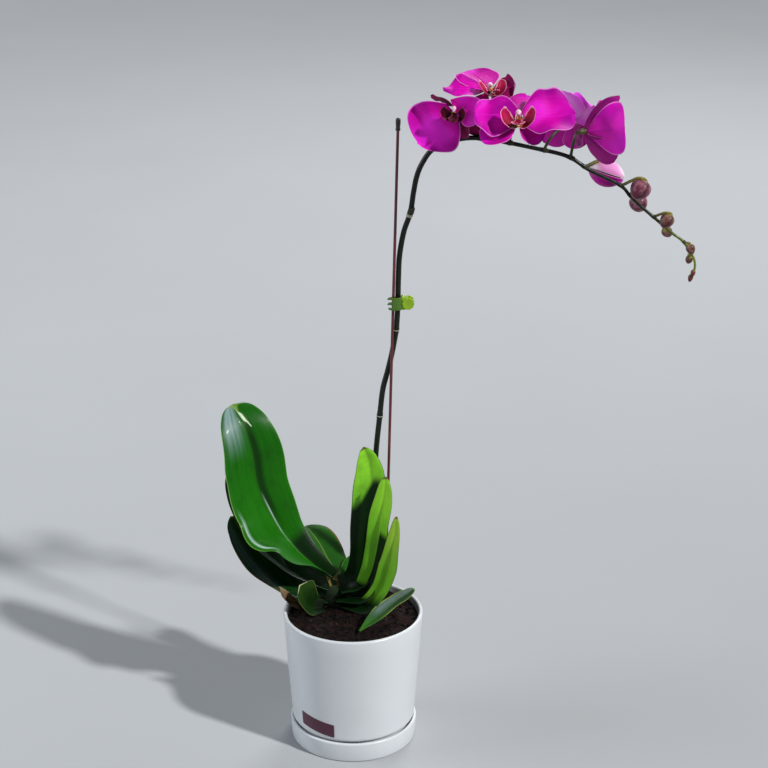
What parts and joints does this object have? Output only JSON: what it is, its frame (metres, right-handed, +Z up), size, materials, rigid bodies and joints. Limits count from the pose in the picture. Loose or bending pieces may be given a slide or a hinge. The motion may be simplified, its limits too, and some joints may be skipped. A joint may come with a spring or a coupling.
{
  "type": "potted moth orchid",
  "caption": "Moth orchid in a white glazed pot on its saucer, its arching flower spike held to a wire stake by a small spring clip.",
  "frame": {"origin": "centre of the saucer's flat underside, on the surface that the saucer stands on", "axes": "+Z up, +X the way the flower spike arches, -Y the side that the flowers face"},
  "size_m": [0.4562, 0.1687, 0.6774],
  "materials": {
    "white_glaze": "smooth white glaze",
    "peat": "loose dark bark and peat, matt",
    "leaf_green": "glossy waxy leaf",
    "young_leaf_green": "semi-gloss young leaf",
    "dry_sheath": "papery, matt",
    "stem_green": "waxy near-black green",
    "magenta_petal": "soft satin petal",
    "crimson_lip": "satin",
    "bud_purple": "satin",
    "maroon_wire": "plastic-coated wire",
    "black_cap": "matt black",
    "lime_plastic": "glossy",
    "steel": "bright wire"
  },
  "bodies": {
    "plant": {"bud_1": "bud_purple", "bud_2": "bud_purple", "bud_3": "bud_purple", "bud_4": "bud_purple", "bud_5": "bud_purple", "bud_6": "bud_purple", "bud_7": "bud_purple", "clip_pin": "steel", "clip_rear_jaw": "lime_plastic", "crown": "leaf_green", "cut_leaf_stub": "leaf_green", "dried_sheath": "dry_sheath", "flower_1_dorsal_sepal": "magenta_petal", "flower_1_left_petal": "magenta_petal", "flower_1_left_sepal": "magenta_petal", "flower_1_lip": "crimson_lip", "flower_1_right_petal": "magenta_petal", "flower_1_right_sepal": "magenta_petal", "flower_2_dorsal_sepal": "magenta_petal", "flower_2_left_petal": "magenta_petal", "flower_2_left_sepal": "magenta_petal", "flower_2_lip": "crimson_lip", "flower_2_right_petal": "magenta_petal", "flower_2_right_sepal": "magenta_petal", "flower_3_dorsal_sepal": "magenta_petal", "flower_3_left_petal": "magenta_petal", "flower_3_left_sepal": "magenta_petal", "flower_3_lip": "crimson_lip", "flower_3_right_petal": "magenta_petal", "flower_3_right_sepal": "magenta_petal", "flower_4_dorsal_sepal": "magenta_petal", "flower_4_left_petal": "magenta_petal", "flower_4_left_sepal": "magenta_petal", "flower_4_lip": "crimson_lip", "flower_4_right_petal": "magenta_petal", "flower_4_right_sepal": "magenta_petal", "flower_5_dorsal_sepal": "magenta_petal", "flower_5_left_petal": "magenta_petal", "flower_5_left_sepal": "magenta_petal", "flower_5_lip": "crimson_lip", "flower_5_right_petal": "magenta_petal", "flower_5_right_sepal": "magenta_petal", "flower_spike": "stem_green", "growing_medium": "peat", "leaf_back_left": "leaf_green", "leaf_back_right": "leaf_green", "leaf_front_small": "leaf_green", "leaf_left_low": "leaf_green", "leaf_left_middle": "leaf_green", "leaf_left_tall": "leaf_green", "leaf_right_low": "young_leaf_green", "leaf_right_middle": "young_leaf_green", "leaf_right_tall": "young_leaf_green", "pot": "white_glaze", "saucer": "white_glaze", "stake": "maroon_wire", "stake_cap": "black_cap"},
    "clip_front": {"clip_front_jaw": "lime_plastic"}
  },
  "joints": [
    {"name": "clip_hinge", "type": "hinge", "parent": "plant", "child": "clip_front", "pos_m": [0.0498, 0.0358, 0.4502], "axis": [0, 0, 1], "range_deg": [0, 22], "stiffness_Nm_per_rad": 0.02}
  ]
}
